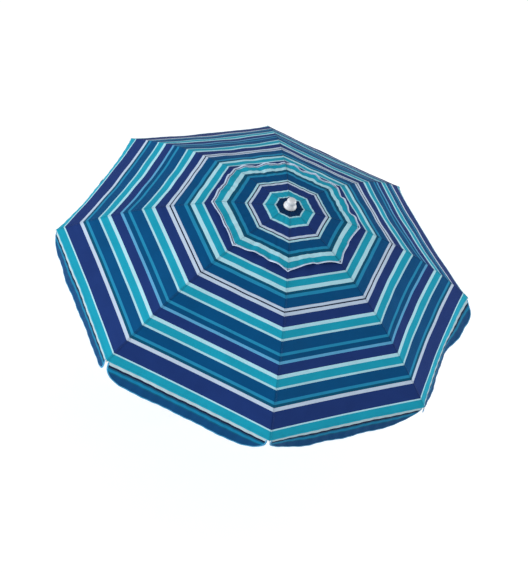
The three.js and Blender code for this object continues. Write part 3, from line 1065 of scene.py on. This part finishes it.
def makeCanopyPiece(rib):
    number = rib + 1
    shares = [0.0] + list(np.linspace(rimShare, 0.5, canopy["across"]))
    grid = clothGrid(rib, canopyRows(rib), shares, overPanel, canopyWidth)
    cloth = clothObject(f"canopyCloth_{number}", grid, ["canopy", "canopyUnder"])
    alongs = np.linspace(0.004, vent - 0.004, 96)
    seam = seamStrip(f"ribSeam_{number}", rib, alongs, canopy["seamWidth"], 0.0008,
                     canopyProfile, canopyCreases, ["canopy", "canopyUnder"], canopyWidth)
    trims = [seam]
    lines = []
    for reach in (0.0016, canopy["seamWidth"] - 0.0012):
        lines.append([overPanel(rib, reach / canopyWidth(along), along, 0.0012) for along in alongs])
    for gore, side in ((rib, 1), (rib - 1, -1)):
        outer = flapEdge(gore, side, 0.0)
        inner = flapEdge(gore, side, canopy["bindingWidth"])
        sewn = flapEdge(gore, side, canopy["bindingWidth"] - 0.0012)
        trims.append(edgeTape(
            f"flapBinding_{number}_{side}", overPanel(gore, *outer), overPanel(gore, *inner),
            surfaceNormal(gore, *outer), 0.0016, "binding"))
        lines.append(overPanel(gore, *sewn, 0.0011))
        rim = np.linspace(rimShare, 0.5, 50)
        lines.append(overPanel(gore, rim if side > 0 else 1 - rim, 0.0075, 0.0004))
        hem = np.linspace(0.02, 0.5, 24)
        lines.append(overPanel(gore, hem if side > 0 else 1 - hem, vent - 0.006, 0.0004))
    stitches = grown(lineObject(f"canopyStitches_{number}", lines), trees["stitch"], "thread",
                     Thickness=0.0005, Seed=number)
    trim = merged(f"canopyTrim_{number}", trims + [stitches])
    for made in (cloth, trim):
        squashed(made, rib, canopy["keep"])
    finish(cloth, f"rib_arm_{number}", "canopy_cloth", f"canopy_panel_{number}")
    finish(trim, f"rib_arm_{number}", "canopy_cloth")
    length, area = flatCut(canopyProfile)
    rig.sheet(cloth, flat=(canopyWidth(0), length), held="stretched", rests_on=[f"rib_{number}"],
             with_pieces=[trim], area=area)


def makeCapPiece(rib):
    number = rib + 1

    def places(gore, share, along, lift=0.0):
        return overPanel(gore, share, along, lift, capProfile, capCreases)

    def printAt(gore, share, along):
        hidden = cap["hems"][gore % canopy["ribs"]][3] / 1000 * min(1, share / 0.06)
        return along + hidden * math.exp(-along / 0.012)

    shares = list(np.linspace(0, 0.5, cap["across"]))
    alongs = list(np.linspace(0, 0.03, 12)[:-1])
    alongs += list(np.linspace(0.03, capLength, round(capLength / cap["step"])))
    rows = [(float(along), None) for along in alongs]
    grid = clothGrid(rib, rows, shares, places, capWidth, printAt)
    cloth = clothObject(f"ventCap_{number}", grid, ["cap", "capUnder"])
    alongs = np.linspace(0.003, capLength - 0.03, 40)
    seam = seamStrip(f"capSeam_{number}", rib, alongs, 0.005, 0.0007,
                     capProfile, capCreases, ["cap", "capUnder"], capWidth)
    seamLines = [[places(rib, reach / capWidth(along), along, 0.0009) for along in alongs]
                 for reach in (0.0014, 0.0038)]
    lines = []
    trims = [seam]
    for gore, side in ((rib, 1), (rib - 1, -1)):
        share = np.linspace(0, 0.5, 30)
        share = share if side > 0 else 1 - share
        normal = places(gore, share, 0.0005, 0.001) - places(gore, share, 0.0005)
        normal /= np.linalg.norm(normal, axis=1)[:, None]
        trims.append(edgeTape(
            f"capBinding_{number}_{side}", places(gore, share, 0.0), places(gore, share, 0.005),
            normal, 0.0016, "capBinding"))
        lines.append(places(gore, share, 0.004, 0.0011))
        seamLines.append(places(gore, share, 0.0105, 0.0003))
    stitches = grown(lineObject(f"capStitches_{number}", lines), trees["stitch"], "paleThread",
                     Seed=20 + number)
    seams = grown(lineObject(f"capSeamStitches_{number}", seamLines), trees["stitch"], "thread",
                  Thickness=0.0004, Seed=30 + number)
    trim = merged(f"ventTrim_{number}", trims + [stitches, seams])
    for made in (cloth, trim):
        squashed(made, rib, cap["keep"])
    finish(cloth, f"rib_arm_{number}", "vent_cloth", f"vent_gore_{number}")
    finish(trim, f"rib_arm_{number}", "vent_cloth")
    length, area = flatCut(capProfile)
    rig.sheet(cloth, flat=(capWidth(0), length), held="stretched", rests_on=[f"rib_{number}"],
             with_pieces=[trim], area=area)


for rib in range(canopy["ribs"]):
    makeCanopyPiece(rib)
    makeCapPiece(rib)
print("canopy and vent cap sewn")

# Finial
finial = {
    "base": 0.353,  # height of its foot above the rim
    "side": [  # radius and height above the foot
        (0.0258, 0.0), (0.0268, 0.0035), (0.0258, 0.008), (0.023, 0.0122), (0.0198, 0.0155), (0.0184, 0.019),
        (0.0186, 0.024), (0.019, 0.029), (0.018, 0.034), (0.0146, 0.038), (0.008, 0.0408), (0.0, 0.0415),
    ],
    "bore": (0.0074, 0.0145),
}


def makeFinial():
    bore, depth = finial["bore"]
    outline = [(0.0, depth), (bore, depth), (bore, 0.0)]
    outline += [tuple(point) for point in smoothLine(finial["side"], 44)]
    outline[-1] = (0.0, outline[-1][1])
    foot = rimHeight + finial["base"]
    outline = [(radius, foot + height) for radius, height in outline]
    made = turned("finialKnob", outline, "plastic", edge=0, smooth=50)
    finish(made, "upper_pole", "white_plastic", "finial")


makeFinial()

# Pole
pole = {"upperRadius": 0.014, "upperWall": 0.0012, "lowerRadius": 0.012, "lowerWall": 0.0011}


def makeTube(name, node, radius, wall, body):
    low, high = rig.box(node)
    outline = [(radius - wall, low.z), (radius, low.z), (radius, high.z), (radius - wall, high.z)]
    made = turned(name, outline, "steel", edge=0.0004)
    finish(made, body, "white_steel", node)


makeTube("upperPole", "upper_tube", pole["upperRadius"], pole["upperWall"], "upper_pole")
makeTube("lowerPole", "lower_tube", pole["lowerRadius"], pole["lowerWall"], "ground_pole")

clamp = {
    "bore": 0.0124, "seat": 0.0144, "outer": 0.0198, "shoulder": 0.0178, "chamfer": 0.003, "grips": 30,
    "handle": [  # radius and distance from the sleeve
        (0.0, 0.0), (0.003, 0.0), (0.003, 0.0115), (0.0105, 0.0115), (0.0132, 0.0122), (0.014, 0.0142),
        (0.014, 0.0195), (0.0132, 0.0217), (0.0108, 0.0225), (0.0062, 0.0222), (0.0, 0.0219),
    ],
    "handleFoot": 0.0125,
}


def makeClamp():
    low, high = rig.box("clamp_collar")
    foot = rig.box("upper_tube")[0].z - 0.0004
    outline = [
        (clamp["bore"], low.z), (clamp["shoulder"], low.z), (clamp["outer"], low.z + clamp["chamfer"]),
        (clamp["outer"], high.z - clamp["chamfer"]), (clamp["shoulder"], high.z), (clamp["seat"], high.z),
        (clamp["seat"], foot), (clamp["bore"], foot),
    ]
    made = turned("clampSleeve", outline, "plastic", edge=0.0008)
    grown(made, trees["grip"], "plastic", Count=clamp["grips"], Radius=clamp["outer"], Height=0.022,
          Width=0.0014, Middle=high.z - 0.018)
    finish(made, "upper_pole", "white_plastic", "clamp_collar")
    low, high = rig.box("clamp_knob")
    middle = (low.z + high.z) / 2
    handle = turned("clampHandle", clamp["handle"], "bluePlastic", lobes=5, lobeDepth=0.155, edge=0.0005)
    place = Matrix.Translation((0, -clamp["handleFoot"], middle))
    handle.data.transform(place @ Matrix.Rotation(math.radians(90), 4, "X"))
    finish(handle, "knob", "blue_plastic", "clamp_knob")


makeClamp()


spike = {
    "shaft": [  # radius and height
        (0.0022, 0.002), (0.0036, 0.015), (0.005, 0.03), (0.0074, 0.057), (0.0095, 0.084),
        (0.0106, 0.105), (0.011, 0.118),
    ],
    "collar": [(0.015, 0.12), (0.015, 0.127), (0.0144, 0.1276), (0.0105, 0.1276)],
    "plug": [(0.0105, 0.162)],
    "plugTop": 0.0086,
}


def makeSpike():
    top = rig.box("ground_spike")[1].z
    shaft = smoothLine(spike["shaft"], 18)
    outline = [(0.0, 0.0)] + [tuple(point) for point in shaft] + spike["collar"] + spike["plug"]
    outline += [(spike["plugTop"], top), (0.0, top)]
    made = turned("sandSpike", outline, "plastic", edge=0.0006)
    finish(made, "ground_pole", "white_plastic", "ground_spike")


makeSpike()

# Crown and runner: name, material, body, slot and width of the rounded edges
hubs = {
    "crown": ("crownHub", "plastic", "upper_pole", "white_plastic", 0.0004),
    "crown_wire": ("crownRing", "zinc", "upper_pole", "clip_steel", 0.0001),
    "runner": ("runnerSleeve", "plastic", "runner_sleeve", "white_plastic", 0.0004),
    "runner_wire": ("runnerRing", "zinc", "runner_sleeve", "clip_steel", 0.0001),
    "runner_catch": ("catchPush", "bluePlastic", "catch_button", "blue_plastic", 0.0006),
}
for node, (name, materialName, body, slotName, edge) in hubs.items():
    finish(refined(node, name, materialName, edge), body, slotName, node)
print("pole, finial, crown and runner made")

# Ribs and stretchers
arm = {
    "ribDrop": 0.0065,
    "ribRadius": 0.00225,
    "eyeReach": 0.03,
    "hub": [(0.021, 0.326), (0.06, 0.327), (0.11, 0.325), (0.18, 0.319), (0.24, 0.3095)],
    "end": (0.895, -0.003),
}


def ribLine():
    under = [(radius, height - arm["ribDrop"]) for radius, height in canopy["line"][-2:0:-1]]
    return smoothLine(arm["hub"] + under + [arm["end"]], 120)


def around(rib, points):
    turn = rib * goreAngle
    return [(radius * math.cos(turn), radius * math.sin(turn), height) for radius, height in points]


def keepNear(made, reach):
    # keeps only the part of a mesh within reach of the pole
    shape = bmesh.new()
    shape.from_mesh(made.data)
    far = [vertex for vertex in shape.verts if math.hypot(vertex.co.x, vertex.co.y) > reach]
    bmesh.ops.delete(shape, geom=far, context="VERTS")
    bmesh.ops.holes_fill(shape, edges=shape.edges)
    shape.to_mesh(made.data)
    shape.free()


def makeArm(rib):
    number = rib + 1
    body = f"rib_arm_{number}"
    path = [(radius, rimHeight + height) for radius, height in ribLine()]
    wire = grown(lineObject(f"ribWire_{number}", [around(rib, path)]), trees["rod"], "steel",
                 Radius=arm["ribRadius"], Steps=110, Sides=16)
    eye = refined(f"rib_{number}", f"ribEye_{number}", "steel", 0.0002)
    keepNear(eye, arm["eyeReach"])
    finish(merged(f"ribWire_{number}", [wire, eye]), body, "white_steel", f"rib_{number}")
    clip = refined(f"rib_joint_{number}", f"ribClip_{number}", "zinc", 0.0005)
    finish(clip, body, "clip_steel", f"rib_joint_{number}")
    tip = refined(f"rib_tip_{number}", f"ribEnd_{number}", "plastic", 0.0006)
    finish(tip, body, "white_plastic", f"rib_tip_{number}")
    stretcher = refined(f"stretcher_{number}", f"stretcherWire_{number}", "steel", 0.0002)
    finish(stretcher, f"stretcher_arm_{number}", "white_steel", f"stretcher_{number}")


for rib in range(canopy["ribs"]):
    makeArm(rib)
print("ribs and stretchers made")

# Tie strap
strap = {
    "panel": 3, "share": 0.44, "width": 0.024, "length": 0.088, "thickness": 0.0016, "edge": 0.0004,
    "bow": 0.0045, "clear": 0.0018, "below": 0.004,
}


def makeStrap():
    share = strap["share"]
    half = strap["width"] / 2 / canopyWidth(0)
    rows = np.linspace(0.0, 1.0, 24)
    points = []
    spread = (-1, -0.5, 0, 0.5, 1)
    for side in (0.0, strap["thickness"]):
        for row in rows:
            lift = strap["bow"] * math.sin(math.pi * row) + strap["clear"] + side
            along = -strap["below"] - row * strap["length"]
            for across in spread:
                points.append(overPanel(strap["panel"], share + across * half, along, lift))
    columns = len(spread)
    layer = columns * len(rows)
    faces = []
    for i in range(len(rows) - 1):
        for j in range(columns - 1):
            a = i * columns + j
            faces.append((a, a + 1, a + columns + 1, a + columns))
            faces.append((layer + a, layer + a + columns, layer + a + columns + 1, layer + a + 1))
        for edge in (0, columns - 1):
            a = i * columns + edge
            faces.append((a, a + columns, layer + a + columns, layer + a))
    for i in (0, len(rows) - 1):
        for j in range(columns - 1):
            a = i * columns + j
            faces.append((a, a + 1, layer + a + 1, layer + a))
    made = makeObject("tieStrap", meshFrom("tieStrap", points, faces), ["strap"], 50)
    facingOut(made)
    rounded(made, strap["edge"])
    squashed(made, strap["panel"], canopy["keep"])
    finish(made, "rib_arm_4", "strap_cloth", "tie_strap")
    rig.sheet(made, flat=(strap["width"], strap["length"]), held="hung", rests_on=["canopy_panel_4"])


makeStrap()


def makeStudio():
    scene = bpy.context.scene
    scene.view_settings.view_transform = "Standard"
    world = bpy.data.worlds.new("studioSky")
    scene.world = world
    world.use_nodes = True
    sky = world.node_tree.nodes["Background"]
    sky.inputs["Color"].default_value = (*studio["sky"], 1)
    sky.inputs["Strength"].default_value = studio["skyStrength"]
    for name, (bearing, height, spread, power) in studio["lamps"].items():
        data = bpy.data.lights.new(name, "SUN")
        data.energy = power
        data.angle = math.radians(spread)
        lamp = bpy.data.objects.new(name, data)
        scene.collection.objects.link(lamp)
        out = Matrix.Rotation(math.radians(bearing), 3, "Z") @ Matrix.Rotation(-math.radians(height), 3, "Y")
        away = out @ Vector((studio["lampDistance"], 0, 0))
        lamp.location = Vector((0, 0, rimHeight)) + away
        lamp.rotation_euler = (-away).to_track_quat("-Z", "Y").to_euler()
    half = studio["floorSize"] / 2
    corners = [(-half, -half, 0), (half, -half, 0), (half, half, 0), (-half, half, 0)]
    mesh = meshFrom("studioFloor", corners, [(0, 1, 2, 3)])
    floor = bpy.data.objects.new("studioFloor", mesh)
    scene.collection.objects.link(floor)
    material, tree, shader = newMaterial("studioPaper", Roughness=0.9)
    shader.inputs["Base Color"].default_value = (*studio["floorColour"], 1)
    shader.inputs["Emission Color"].default_value = (1, 1, 1, 1)
    shader.inputs["Emission Strength"].default_value = studio["floorGlow"]
    mesh.materials.append(material)
    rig.stage(floor)


makeStudio()

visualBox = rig.bounds()
with open("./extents.json", "w") as file:
    json.dump({"cad": [list(map(float, corner)) for corner in cadBox],
               "visual": [list(map(float, corner)) for corner in visualBox]}, file)
print("sizes written")
